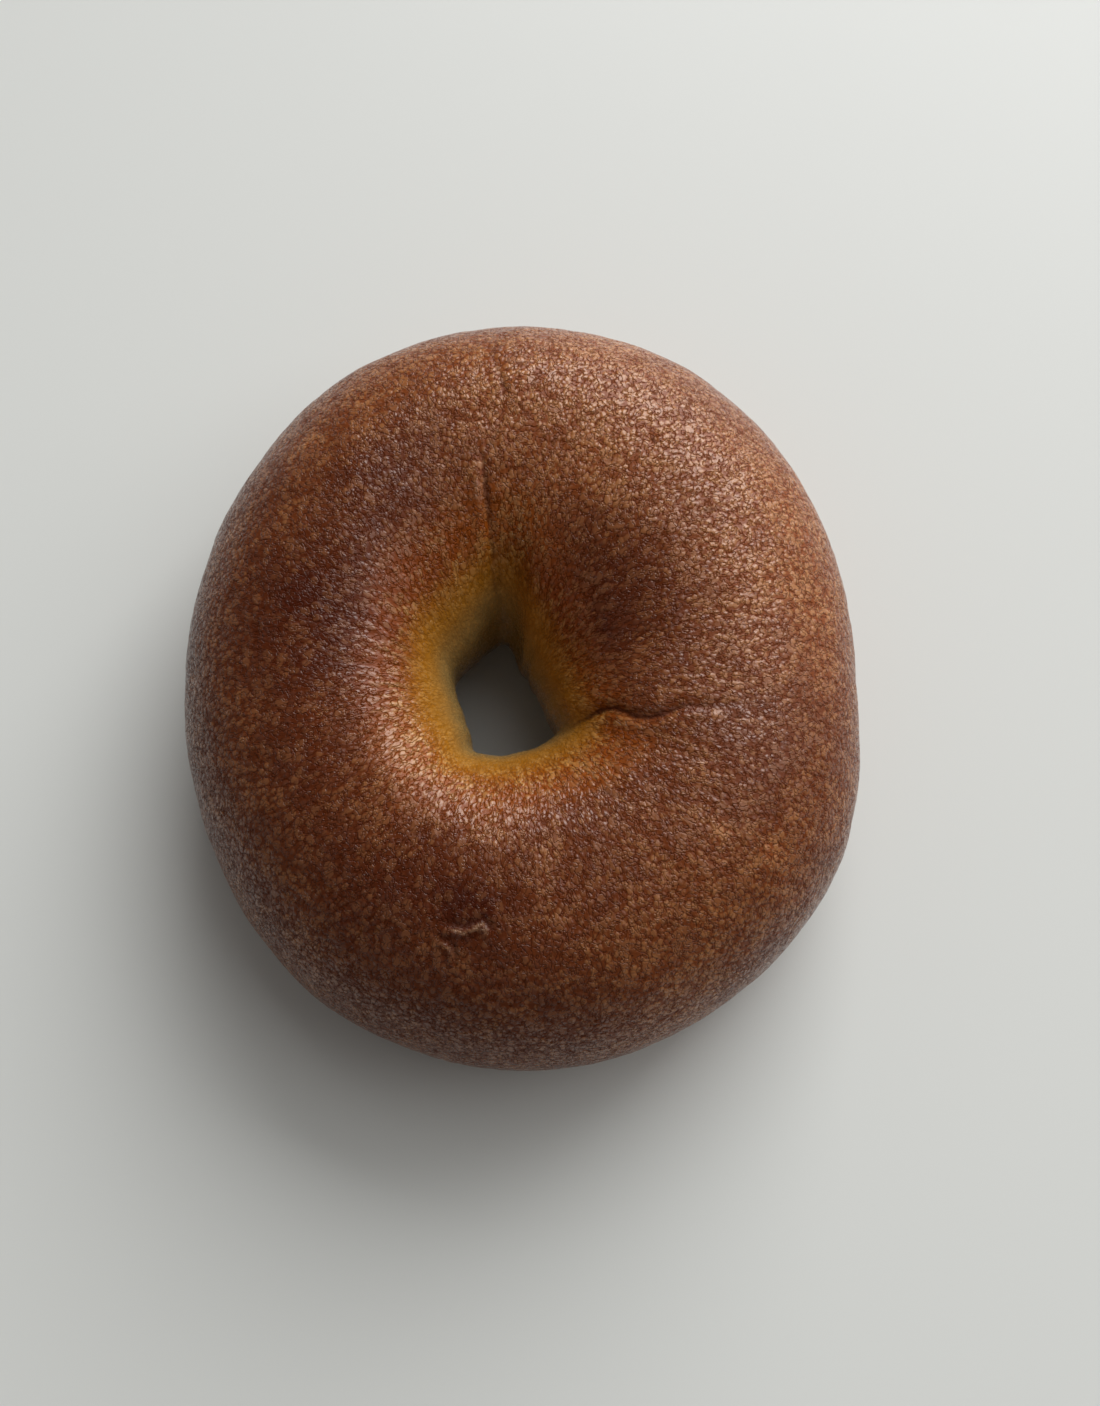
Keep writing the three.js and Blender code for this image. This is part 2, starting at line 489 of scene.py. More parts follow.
class Weaver:
    """Adds and links nodes in one tree, for a material or for geometry."""

    def __init__(self, tree: bpy.types.NodeTree) -> None:
        """Takes an empty tree.

        Args:
            tree: The node tree to fill.
        """
        self.tree = tree
        self.column = 0

    def add(self, kind: str, inputs: Optional[dict[Any, Plug]] = None, **settings: Any) -> bpy.types.Node:
        """Adds a node.

        Args:
            kind: The node's type.
            inputs: What goes into its sockets, by name or number.
            settings: The node's own options.

        Returns:
            The node.
        """
        node = self.tree.nodes.new(kind)
        node.location = (self.column * NODE_SPACING, 0)
        self.column += 1
        for name, value in settings.items():
            setattr(node, name, value)
        for key, value in (inputs or {}).items():
            self.plug(node.inputs[key], value)
        return node

    def plug(self, socket: Socket, value: Plug) -> None:
        """Links a socket into another, or sets its value."""
        if isinstance(value, bpy.types.NodeSocket):
            self.tree.links.new(value, socket)
        else:
            socket.default_value = value

    def math(self, operation: str, a: Plug, b: Plug = 0.0, clamp: bool = False) -> Socket:
        """Returns what an operation makes of one or two numbers."""
        node = self.add("ShaderNodeMath", {0: a, 1: b}, operation=operation, use_clamp=clamp)
        return node.outputs[0]

    def times(self, *factors: Plug) -> Socket:
        """Returns the product of some numbers."""
        product = factors[0]
        for factor in factors[1:]:
            product = self.math("MULTIPLY", product, factor)
        return product

    def total(self, *terms: Plug) -> Socket:
        """Returns the sum of some numbers."""
        total = terms[0]
        for term in terms[1:]:
            total = self.math("ADD", total, term)
        return total

    def larger(self, a: Plug, b: Plug) -> Socket:
        """Returns the larger of two numbers."""
        return self.math("MAXIMUM", a, b)

    def vector(self, operation: str, a: Plug, b: Plug = (0, 0, 0)) -> Socket:
        """Returns a vector sum, or the number that the operation gives."""
        node = self.add("ShaderNodeVectorMath", {0: a, 1: b}, operation=operation)
        return node.outputs["Value" if operation in ("LENGTH", "DOT_PRODUCT", "DISTANCE") else "Vector"]

    def scaled(self, a: Plug, scale: Plug) -> Socket:
        """Returns a vector times a number."""
        return self.add("ShaderNodeVectorMath", {0: a, "Scale": scale}, operation="SCALE").outputs["Vector"]

    def step(self, value: Plug, low: float, high: float, start: Plug = 0.0, end: Plug = 1.0) -> Socket:
        """Returns a smooth step from start to end as a value goes from low to high."""
        inputs = {"Value": value, "From Min": low, "From Max": high, "To Min": start, "To Max": end}
        node = self.add("ShaderNodeMapRange", inputs, interpolation_type="SMOOTHSTEP")
        return node.outputs["Result"]

    def noise(self, place: Plug, size: Plug, detail: float = 2.0, rough: float = 0.5) -> bpy.types.Node:
        """Returns a node of noise from 0 to 1 whose lumps are about a size in metres across."""
        scale = self.math("DIVIDE", 1.0, size) if isinstance(size, bpy.types.NodeSocket) else 1 / size
        inputs = {"Vector": place, "Scale": scale, "Detail": detail, "Roughness": rough}
        return self.add("ShaderNodeTexNoise", inputs)

    def uneven(self, place: Plug, size: Plug, detail: float = 1.0, rough: float = 0.5) -> Socket:
        """Returns soft uneven bumps about zero, from about -0.5 to 0.5."""
        return self.math("SUBTRACT", self.noise(place, size, detail, rough).outputs[0], 0.5)

    def cells(self, place: Plug, size: float) -> bpy.types.Node:
        """Returns a node of cells about a size in metres across."""
        return self.add("ShaderNodeTexVoronoi", {"Vector": place, "Scale": 1 / size})

    def blend(self, share: Plug, a: Plug, b: Plug) -> Socket:
        """Returns a colour between two."""
        node = self.add("ShaderNodeMix", data_type="RGBA")
        colours = [s for s in node.inputs if s.type == "RGBA"]
        self.plug(node.inputs["Factor"], share)
        self.plug(colours[0], (*a, 1) if isinstance(a, tuple) else a)
        self.plug(colours[1], (*b, 1) if isinstance(b, tuple) else b)
        return next(s for s in node.outputs if s.type == "RGBA")

    def between(self, share: Plug, a: Plug, b: Plug) -> Socket:
        """Returns a number between two."""
        node = self.add("ShaderNodeMix", {"Factor": share, "A": a, "B": b}, data_type="FLOAT")
        return node.outputs["Result"]


class ReliefWeaver(Weaver):
    """Weaves the tree that raises the relief, out of the tree's own inputs."""

    def __init__(self, tree: bpy.types.NodeTree, hole_centre: Point) -> None:
        """Takes a tree that has its inputs.

        Args:
            tree: The node tree to fill.
            hole_centre: Middle of the hole.
        """
        super().__init__(tree)
        self.hole_centre = hole_centre
        self.given = self.add("NodeGroupInput").outputs
        self.position = self.add("GeometryNodeInputPosition").outputs[0]

    def weave(self, finish: bpy.types.Material) -> None:
        """Fills the tree.

        Args:
            finish: The material that the crust wears.
        """
        place = self.shaken(self.position)
        swell = self.total(self.bumps(place, "Lump"), self.bumps(place, "Dimple"))
        stored = self.add(
            "GeometryNodeStoreNamedAttribute",
            {"Geometry": self.raised(self.given["Geometry"], swell), "Name": "skin", "Value": self.skin()},
            data_type="FLOAT_VECTOR",
            domain="POINT",
        ).outputs[0]
        pebbles = self.bumps(self.shaken(self.field("skin", "FLOAT_VECTOR")), "Pebble")
        wrinkles = self.times(self.bumps(self.wrinkled(), "Wrinkle"), self.field("gathered"))
        flakes = self.times(self.bumps(place, "Flake"), self.field("flaky"))
        raised = self.raised(stored, self.total(pebbles, wrinkles, flakes))
        realized = self.add("GeometryNodeRealizeInstances", {"Geometry": raised}).outputs[0]
        worn = self.add("GeometryNodeSetMaterial", {"Geometry": realized, "Material": finish})
        self.add("NodeGroupOutput", {"Geometry": worn.outputs[0]})

    def field(self, name: str, kind: str = "FLOAT") -> Socket:
        """Returns a number, or a place, stored on the mesh."""
        return self.add("GeometryNodeInputNamedAttribute", {"Name": name}, data_type=kind).outputs[0]

    def shaken(self, place: Socket) -> Socket:
        """Returns a place moved by the seed, which picks another stretch of the noise."""
        return self.vector("ADD", place, self.scaled(SEED_STEP, self.given["Seed"]))

    def bumps(self, place: Socket, kind: str) -> Socket:
        """Returns uneven bumps whose size and height are inputs of the tree."""
        return self.times(self.uneven(place, self.given[f"{kind} size"]), self.given[f"{kind} height"])

    def around_hole(self) -> tuple[Socket, Socket]:
        """Returns the place measured from the hole's middle, and the same seen from above."""
        local = self.vector("SUBTRACT", self.position, (*self.hole_centre, 0))
        return local, self.vector("MULTIPLY", local, (1, 1, 0))

    def skin(self) -> Socket:
        """Lays the surface out as it was before it was drawn in round the hole.

        Returns:
            The place on the laid-out skin.
        """
        local, flat = self.around_hole()
        ratio = self.math("DIVIDE", self.given["Gather"], self.vector("LENGTH", flat))
        widened = self.math("SQRT", self.math("ADD", self.times(ratio, ratio), 1.0))
        upright = self.vector("MULTIPLY", local, (0, 0, 1))
        return self.vector("ADD", self.scaled(flat, widened), upright)

    def wrinkled(self) -> Socket:
        """Lays the surface out so that bumps on it run out from the hole as wrinkles.

        Returns:
            The place for those bumps.
        """
        local, flat = self.around_hole()
        heading = self.scaled(self.vector("NORMALIZE", flat), self.given["Wrinkle start"])
        height = self.vector("DOT_PRODUCT", local, (0, 0, 1))
        away = self.math("SUBTRACT", self.vector("LENGTH", flat), height)
        run = self.times(away, self.given["Wrinkle stretch"])
        rise = self.add("ShaderNodeCombineXYZ", {"Z": run}).outputs[0]
        return self.shaken(self.vector("ADD", heading, rise))

    def raised(self, geometry: Socket, height: Socket) -> Socket:
        """Moves the surface out along its normal, where it is free of the base."""
        normal = self.add("GeometryNodeInputNormal").outputs[0]
        offset = self.scaled(normal, self.times(height, self.field("free")))
        return self.add("GeometryNodeSetPosition", {"Geometry": geometry, "Offset": offset}).outputs[0]


@dataclass(frozen=True)
class CrustRelief:
    """Geometry Nodes, with their sizes, that raise the lumps, blisters and wrinkles on the smooth ring."""

    hole_centre: Point  # middle of the hole, which the skin is drawn in towards
    # by about how much the hole's radius is taken to be larger when the skin is laid out, so that
    # blisters are squeezed narrow round the hole
    gather: float = 17 * MM
    lump_size: float = 22 * MM  # width of the broad lumps
    lump_height: float = 1.0 * MM  # height of the broad lumps
    dimple_size: float = 6 * MM  # width of the shallow dimples
    dimple_height: float = 0.35 * MM  # height of the shallow dimples
    pebble_size: float = 1.5 * MM  # width of the coarse blisters
    pebble_height: float = 0.18 * MM  # height of the coarse blisters
    wrinkle_size: float = 0.85 * MM  # distance between the wrinkles that run out from the hole
    wrinkle_height: float = 0.6 * MM  # height of those wrinkles
    flake_size: float = 1.2 * MM  # width of the flakes on the lips of the folds
    flake_height: float = 0.6 * MM  # height of those flakes
    wrinkle_start: float = 16 * MM  # distance from the hole's middle at which the wrinkles are laid out
    wrinkle_stretch: float = 0.16  # how fast the wrinkles change along their length
    seed: float = 4.0  # sets every random place

    def sizes(self) -> dict[str, float]:
        """Returns the tree's named inputs, such as "Lump size", and their values."""
        sizes = {name.replace("_", " ").capitalize(): value for name, value in vars(self).items()}
        sizes.pop("Hole centre")
        return sizes

    def tree(self, finish: bpy.types.Material) -> bpy.types.GeometryNodeTree:
        """Builds the tree.

        Args:
            finish: The material that the crust wears.

        Returns:
            The node tree.
        """
        tree = bpy.data.node_groups.new("crust_relief", "GeometryNodeTree")
        tree.interface.new_socket("Geometry", in_out="INPUT", socket_type="NodeSocketGeometry")
        for name, value in self.sizes().items():
            socket = tree.interface.new_socket(name, in_out="INPUT", socket_type="NodeSocketFloat")
            socket.default_value = value
        tree.interface.new_socket("Geometry", in_out="OUTPUT", socket_type="NodeSocketGeometry")
        ReliefWeaver(tree, self.hole_centre).weave(finish)
        return tree

    def apply(self, piece: bpy.types.Object, finish: bpy.types.Material) -> None:
        """Runs the tree on a piece and keeps the result as its plain mesh.

        Args:
            piece: The piece to change.
            finish: The material that the crust wears.
        """
        tree = self.tree(finish)
        modifier = piece.modifiers.new("crust relief", "NODES")
        modifier.node_group = tree
        for item in tree.interface.items_tree:
            if item.in_out == "INPUT" and item.name in self.sizes():
                modifier[item.identifier] = self.sizes()[item.name]
        evaluated = piece.evaluated_get(bpy.context.evaluated_depsgraph_get())
        mesh = bpy.data.meshes.new_from_object(evaluated)
        piece.modifiers.remove(modifier)
        piece.data = mesh
        mesh.name = piece.name


@dataclass(frozen=True)
class CrustFinish:
    """Baked crust: glossy mahogany brown freckled with tan, golden where the hole stayed pale."""

    dark_brown: Colour = (0.060, 0.0088, 0.0012)  # the crust where its tone is darkest: darker baked crust with painted shade
    light_brown: Colour = (0.225, 0.058, 0.014)  # where its tone is lightest: lighter baked crust with painted light
    dark_tan: Colour = (0.195, 0.065, 0.019)  # the freckles where the tone is darkest, with painted shade
    light_tan: Colour = (0.37, 0.145, 0.045)  # where it is lightest, with painted light
    vein: Colour = (0.048, 0.008, 0.0015)  # the fine lines between the freckles
    dark_amber: Colour = (0.137, 0.023, 0.002)  # the ring round the hole where its tone is darkest, with painted shade
    light_amber: Colour = (0.31, 0.077, 0.005)  # where it is lightest, with painted light
    golden: Colour = (0.30, 0.12, 0.011)  # the golden band inside that ring
    gilt: Colour = (0.50, 0.25, 0.055)  # the freckles on that band
    pale: Colour = (0.28, 0.18, 0.06)  # the hole's walls
    crack: Colour = (0.055, 0.012, 0.004)  # the shade painted in the creases of the folds
    flake: Colour = (0.34, 0.19, 0.105)  # the lips beside the folds: pale flaked crust, and painted sheen on the pinched seam's swell
    base: Colour = (0.26, 0.11, 0.04)  # the flat base
    fine: float = 0.74 * MM  # spacing of the freckles
    coarse: float = 1.5 * MM  # spacing of the larger blisters
    cloud: float = 12 * MM  # width of the broad uneven patches
    cluster: float = 4 * MM  # width of the patches in which freckles crowd
    stir: float = 0.32 * MM  # how far freckles and lines are pushed out of shape
    stir_size: float = 0.8 * MM  # width of those pushes
    vein_size: float = 0.9 * MM  # distance between the fine lines
    grain: float = 0.5 * MM  # width of the finest grain
    flour: float = 1.6 * MM  # width of the patches of flour on the base
    flour_edge: Ramp = (0.4, 0.7)  # where the flour fades
    relief: float = 0.15 * MM  # height of the freckles
    relief_share: float = 0.6  # how much of it the freckles, the lines and the grain each take
    swell_shares: tuple[float, float] = (0.3, 0.8)  # how much the tone and the cloud raise the relief
    swell: Ramp = (-0.6, 0.5, 0.5, 1.0)  # how the relief's height follows that
    shine: float = 0.18  # roughness of the crust
    matt: float = 0.4  # roughness of the fine lines
    gathered_share: float = 0.8  # how much the wrinkles dull the crust
    dry: float = 0.7  # roughness in the creases and on the base
    crust_gleam: float = 0.24  # specular level of the crust
    freckle_gleam: float = 0.78  # the same on a freckle
    line_gleam: float = 0.05  # the same in a fine line or a crease
    ior: float = 1.42  # index of refraction
    freckle_reach: Ramp = (0.55, 0.85)  # radius of the least and the most likely freckle, in its own spacing
    freckle_rim: Ramp = (1.0, 0.6)  # where a freckle's colour fades, 1 at its rim
    freckle_edge: Ramp = (1.1, 0.2)  # where its height fades
    freckle_luck: Ramp = (0.38, 1.0, 0.03, 1.0)  # how strongly a freckle shows for its luck
    # how much of that luck its own chance, its cluster and the tone make
    luck_shares: tuple[float, float, float] = (0.45, 0.27, 0.5)
    cluster_edge: Ramp = (0.35, 0.65)  # where a cluster of freckles fades
    blister_rim: Ramp = (0.55, 0.42)  # where a larger blister fades, in its own spacing
    blister_luck: Ramp = (0.6, 0.8)  # how strongly a larger blister shows for its chance
    blister_share: float = 0.45  # how strongly the larger blisters colour the crust
    blister_height: float = 0.8  # how high a larger blister stands beside a freckle
    vein_width: Ramp = (0.06, 0.0)  # where a fine line fades
    vein_share: float = 0.55  # how strongly it colours the crust
    # where brown turns to amber; this and the next ones are 0 at the ring, 1 at the hole
    to_amber: Ramp = (-0.9, -0.1, 0.0, 0.9)
    to_golden: Ramp = (0.0, 0.65)  # where amber turns golden
    to_pale: Ramp = (0.55, 1.0)  # where the gold turns pale
    to_gilt: Ramp = (-0.5, 0.8)  # where the freckles turn gilt
    to_plain: Ramp = (1.0, 0.0, 0.3, 1.0)  # where the freckles fade
    to_unlined: Ramp = (0.8, 0.0)  # where the fine lines fade
    to_smooth: Ramp = (1.0, 0.2, 0.35, 1.0)  # where the relief fades
    flake_size: float = 0.8 * MM  # size of the flakes on a lip
    flake_ragged: float = 1.2  # how ragged they are
    flake_edge: Ramp = (0.3, 1.0, 0.0, 0.8)  # where they fade
    crack_size: float = 1.1 * MM  # length of the bends of the shade painted in a crease
    crack_ragged: float = 0.7 * MM  # how far it bends
    crack_width: Ramp = (0.55 * MM, 0.08 * MM)  # where it fades
    tone_cloud: float = 0.7  # how much the broad patches change the tone
    ring_cloud: float = 0.3  # how much they shift the ring of amber and gold

    def material(self) -> bpy.types.Material:
        """Builds the material.

        Returns:
            The material.
        """
        material = bpy.data.materials.new("baked_crust")
        material.use_nodes = True
        material.node_tree.nodes.clear()
        FinishWeaver(material.node_tree, self).weave()
        return material


class FinishWeaver(Weaver):
    """Weaves the crust's material."""

    def __init__(self, tree: bpy.types.NodeTree, look: CrustFinish) -> None:
        """Takes an empty tree and adds what the whole pattern reads.

        Args:
            tree: The node tree to fill.
            look: The finish.
        """
        super().__init__(tree)
        self.look = look
        self.skin = self.add("ShaderNodeAttribute", attribute_name="skin").outputs["Vector"]
        self.place = self.add("ShaderNodeTexCoord").outputs["Object"]
        self.bent = self.stirred()
        self.cloud = self.uneven(self.place, look.cloud, detail=3.0, rough=0.6)
        self.toward = self.total(self.field("toward_hole"), self.times(self.cloud, look.ring_cloud))

    def weave(self) -> None:
        """Fills the tree."""
        look = self.look
        away, chance = self.freckles()
        blister, vein, crack = self.blisters(), self.veins(), self.cracks()
        under = self.field("underside")
        brown = self.browned(away, chance, blister, vein)
        # paints shade into the folds' creases, and pale flakes and painted sheen onto their lips
        crease_shaded = self.blend(crack, self.blend(self.flakes(), brown, look.flake), look.crack)
        bare = self.step(self.noise(self.place, look.flour, detail=3.0).outputs[0], *look.flour_edge)
        colour = self.blend(under, crease_shaded, self.blend(bare, look.base, brown))

        dull = self.larger(vein, self.times(self.field("gathered"), look.gathered_share))
        rough = self.between(dull, look.shine, look.matt)
        rough = self.between(self.larger(under, crack), rough, look.dry)
        raised = self.larger(self.step(away, *look.freckle_edge), self.times(blister, look.blister_height))
        gleam = self.between(raised, look.crust_gleam, look.freckle_gleam)
        gleam = self.between(self.larger(vein, crack), gleam, look.line_gleam)
        inputs = {
            "Base Color": colour,
            "Roughness": rough,
            "Specular IOR Level": gleam,
            "Normal": self.bumps(raised, vein),
            "IOR": look.ior,
        }
        shader = self.add("ShaderNodeBsdfPrincipled", inputs)
        self.add("ShaderNodeOutputMaterial", {"Surface": shader.outputs[0]})

    def field(self, name: str) -> Socket:
        """Returns a number stored on the mesh."""
        return self.add("ShaderNodeAttribute", attribute_name=name).outputs["Fac"]

    def stirred(self) -> Socket:
        """Returns the place on the skin, stirred so that nothing on it is round or straight."""
        stir = self.noise(self.skin, self.look.stir_size).outputs["Color"]
        push = self.scaled(self.vector("SUBTRACT", stir, (0.5, 0.5, 0.5)), self.look.stir)
        return self.vector("ADD", self.skin, push)

    def chance(self, cells: bpy.types.Node) -> Socket:
        """Returns a random number from 0 to 1 for each cell."""
        return self.add("ShaderNodeSeparateColor", {"Color": cells.outputs["Color"]}).outputs[0]

    def freckles(self) -> tuple[Socket, Socket]:
        """Grows the freckles, each of its own size.

        Returns:
            How far a point lies from the middle of its freckle, 1 at the rim, and the freckle's chance.
        """
        cells = self.cells(self.bent, self.look.fine)
        chance = self.chance(cells)
        reach = self.between(chance, *self.look.freckle_reach)
        return self.math("DIVIDE", cells.outputs["Distance"], reach), chance

    def blisters(self) -> Socket:
        """Returns how much a point lies on one of the larger flat blisters, from 0 to 1."""
        cells = self.cells(self.bent, self.look.coarse)
        picked = self.step(self.chance(cells), *self.look.blister_luck)
        return self.times(self.step(cells.outputs["Distance"], *self.look.blister_rim), picked)

    def veins(self) -> Socket:
        """Returns how much a point lies on one of the fine winding lines, from 0 to 1."""
        winding = self.math("ABSOLUTE", self.uneven(self.bent, self.look.vein_size, detail=1.5, rough=0.6))
        return self.step(winding, *self.look.vein_width)

    def flakes(self) -> Socket:
        """Returns how much a point lies on the ragged pale lip of a fold, from 0 to 1: flaked crust, and
        painted sheen on the pinched seam's swell.
        """
        ragged = self.uneven(self.place, self.look.flake_size, detail=3.0, rough=0.6)
        ragged = self.times(ragged, self.look.flake_ragged)
        return self.step(self.total(self.field("flaky"), ragged), *self.look.flake_edge)

    def cracks(self) -> Socket:
        """Returns how much a point lies in a fold's crease, where shade is painted, from 0 to 1."""
        ragged = self.uneven(self.place, self.look.crack_size, detail=3.0)
        ragged = self.times(ragged, self.look.crack_ragged)
        away = self.math("ABSOLUTE", self.total(self.field("fold_away"), ragged))
        return self.times(self.step(away, *self.look.crack_width), self.field("crack"))

    def browned(self, away: Socket, chance: Socket, blister: Socket, vein: Socket) -> Socket:
        """Browns the crust, turns it golden and pale towards the hole, and freckles it.

        Args:
            away: How far a point lies from the middle of its freckle.
            chance: The freckle's chance.
            blister: Share of the larger blisters.
            vein: Share of the fine lines.

        Returns:
            The colour.
        """
        look, toward = self.look, self.toward
        # the tone, of baked crust, painted shade and painted light, picks between the dark and light colours
        tone = self.total(self.times(self.field("tone"), 0.5), 0.5)
        tone = self.math("ADD", tone, self.times(self.cloud, look.tone_cloud), clamp=True)
        brown = self.blend(tone, look.dark_brown, look.light_brown)
        amber = self.blend(tone, look.dark_amber, look.light_amber)
        brown = self.blend(self.step(toward, *look.to_amber), brown, amber)
        brown = self.blend(self.step(toward, *look.to_golden), brown, look.golden)
        brown = self.blend(self.step(toward, *look.to_pale), brown, look.pale)
        tan = self.blend(tone, look.dark_tan, look.light_tan)
        tan = self.blend(self.step(toward, *look.to_gilt), tan, look.gilt)

        cluster = self.step(self.noise(self.skin, look.cluster).outputs[0], *look.cluster_edge)
        causes = zip((chance, cluster, tone), look.luck_shares)
        luck = self.total(*(self.times(cause, share) for cause, share in causes))
        freckled = self.times(self.step(away, *look.freckle_rim), self.step(luck, *look.freckle_luck))
        share = self.larger(freckled, self.times(blister, look.blister_share))
        share = self.times(share, self.step(toward, *look.to_plain))
        line = self.times(vein, self.step(toward, *look.to_unlined), look.vein_share)
        return self.blend(line, self.blend(share, brown, tan), look.vein)

    def bumps(self, raised: Socket, vein: Socket) -> Socket:
        """Raises the freckles and sinks the fine lines.

        Args:
            raised: Share of the freckles and blisters.
            vein: Share of the fine lines.

        Returns:
            The normal.
        """
        look, share = self.look, self.look.relief_share
        grain = self.times(self.uneven(self.skin, look.grain), share)
        height = self.total(self.times(raised, share), self.times(vein, -share), grain)
        causes = zip((self.field("tone"), self.cloud), look.swell_shares)
        swell = self.total(*(self.times(cause, part) for cause, part in causes))
        strength = self.step(swell, *look.swell)
        depth = self.times(strength, self.step(self.toward, *look.to_smooth), look.relief)
        return self.add("ShaderNodeBump", {"Strength": 1.0, "Distance": depth, "Height": height}).outputs[0]


@dataclass(frozen=True)
class Bagel:
    """The whole bagel: the ring of dough with its folds, its crust's relief and its finish."""

    form: RingForm = field(default_factory=RingForm)
    folds: tuple[Fold, ...] = FOLDS  # the folds, creases and nicks in the top
    patches: tuple[BakeAndShadingPatch, ...] = BAKE_AND_SHADING_PATCHES  # the patches painted darker or lighter: baked crust, painted shade and painted light
    footing: Ramp = (0.5 * MM, 5 * MM)  # heights between which relief grows, above the flat base
    floured: Ramp = (3 * MM, 0.5 * MM)  # heights between which the base's finish gives way to crust
    sides: Ramp = (25 * MM, 13 * MM)  # heights between which the sides' lighter tone fades
    side_tone: float = 0.5  # that tone
    creased: Ramp = (12 * MM, 18 * MM)  # heights between which the folds grow
    gathered: Ramp = (24 * MM, 16 * MM)  # distances from the hole's middle between which the wrinkles grow
    gather_end: Ramp = (0.5, 0.0)  # where they start to fade towards the hole, 1 at the hole
    # how far across the arm the golden band starts, one every 30 degrees
    ring_starts: tuple[float, ...] = (
        *(0.87, 0.88, 0.84, 0.77, 0.78, 0.79),
        *(0.79, 0.78, 0.79, 0.81, 0.82, 0.8),
    )
    # how strongly the skin is wrinkled beside the hole, one every 30 degrees
    gathers: tuple[float, ...] = (0.15, 0.1, 0.2, 0.3, 0.4, 0.8, 0.9, 0.9, 0.9, 0.8, 0.5, 0.3)

    def dough(self) -> bpy.types.Mesh:
        """Makes the smooth ring with its folds, and the fields that the crust reads.

        Returns:
            A closed mesh.
        """
        surface = self.form.surface()
        around, along = surface.across.shape
        points = surface.points.reshape(-1, 3)
        corners = surface.corners()
        faces = corners[..., 0] % around * along + corners[..., 1] % along

        mesh = bpy.data.meshes.new("bagel_dough")
        mesh.from_pydata(points.tolist(), [], faces.tolist())
        mesh.polygons.foreach_set("use_smooth", np.ones(len(faces), bool))
        bake_map = mesh.uv_layers.new(name=BAKE_MAP)
        bake_map.uv.foreach_set("vector", self.form.unrolled(surface).reshape(-1))
        if self.volume(points, faces) < 0:
            mesh.flip_normals()
        mesh.update()

        fields = self.fields(surface)
        self.fold(mesh, points, fields)
        for name, values in fields.items():
            mesh.attributes.new(name, "FLOAT", "POINT").data.foreach_set("value", values.astype(np.float32))
        return mesh

    def volume(self, points: np.ndarray, faces: np.ndarray) -> float:
        """Returns six times the volume inside a closed grid, negative if it is inside out."""
        a, b, c, d = (points[faces[:, k]] for k in range(4))
        return float((np.cross(b - a, c - a) * a).sum() + (np.cross(c - a, d - a) * a).sum())

    def fields(self, surface: Surface) -> dict[str, np.ndarray]:
        """Works out the numbers that the relief and the finish read at each vertex.

        Args:
            surface: The ring's grid.

        Returns:
            The fields by name.
        """
        points = surface.points.reshape(-1, 3)
        plan, height = points[:, :2], points[:, 2]
        start = around_the_turn(self.ring_starts, surface.bearings)[:, None]
        toward = np.clip((surface.across - start) / (1 - start), -1, 1)
        beyond = np.where(surface.on(Stretch.HOLE_TUCK), 1, -1)
        toward = np.where(surface.on(Stretch.CROWN), toward, beyond).reshape(-1)
        radius = np.linalg.norm(plan - np.array(self.form.hole_centre), axis=1)
        near_hole = fade(radius, *self.gathered) * fade(toward, *self.gather_end)
        gathers = np.repeat(around_the_turn(self.gathers, surface.bearings), surface.across.shape[1])
        # the tone: baked crust, painted shade and painted light from the patches, and lighter lower sides
        tone = np.zeros(len(points))
        for patch in self.patches:
            away = np.linalg.norm(plan - np.array(patch.place) * MM, axis=1)
            tone += patch.tone * bell(away, patch.reach)
        return {
            "free": fade(height, *self.footing),
            "toward_hole": toward,
            "gathered": near_hole * gathers,
            "tone": np.clip(tone + self.side_tone * fade(height, *self.sides), -1, 1),
            "underside": fade(height, *self.floured),
        }

    def fold(self, mesh: bpy.types.Mesh, points: np.ndarray, fields: dict[str, np.ndarray]) -> None:
        """Presses the folds into the ring and notes where they lie.

        Args:
            mesh: The ring's mesh.
            points: Its vertices.
            fields: The fields, which gain the distance from the nearest fold, the shade painted in its
                crease, and its flakes and painted sheen.
        """
        normals = np.array([v.normal for v in mesh.vertices])
        upward = fade(points[:, 2], *self.creased) * fields["free"]
        height, crack, flaky = np.zeros((3, len(points)))
        away = np.ones(len(points))
        for crease in self.folds:
            signed, strength = crease.measure(points[:, :2])
            height += crease.relief(signed, strength) * upward
            nearer = (np.abs(signed) < np.abs(away)) & (strength > 0) & (crease.crack > 0)
            away = np.where(nearer, signed, away)
            crack = np.where(nearer, strength * crease.crack * upward, crack)
            flaky = np.maximum(flaky, crease.flaky(signed, strength) * upward)
        fields.update(fold_away=away, crack=crack, flaky=flaky)
        mesh.vertices.foreach_set("co", (points + normals * height[:, None]).reshape(-1))
        mesh.update()

    def build(self) -> bpy.types.Object:
        """Builds the bagel and dresses it.

        Returns:
            The finished piece.
        """
        finish = CrustFinish().material()
        piece = placed("bagel_crust", self.dough())
        CrustRelief(self.form.hole_centre).apply(piece, finish)
        self.settle(piece.data)
        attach(piece, BODY)
        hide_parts(NODE)
        return piece

    def settle(self, mesh: bpy.types.Mesh) -> None:
        """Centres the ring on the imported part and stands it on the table."""
        low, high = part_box(NODE)
        points = np.array([v.co for v in mesh.vertices])
        shift = (np.array(low) + np.array(high) - points.min(0) - points.max(0)) / 2
        shift[2] = -points[:, 2].min()
        mesh.vertices.foreach_set("co", (points + shift).reshape(-1))
        mesh.update()


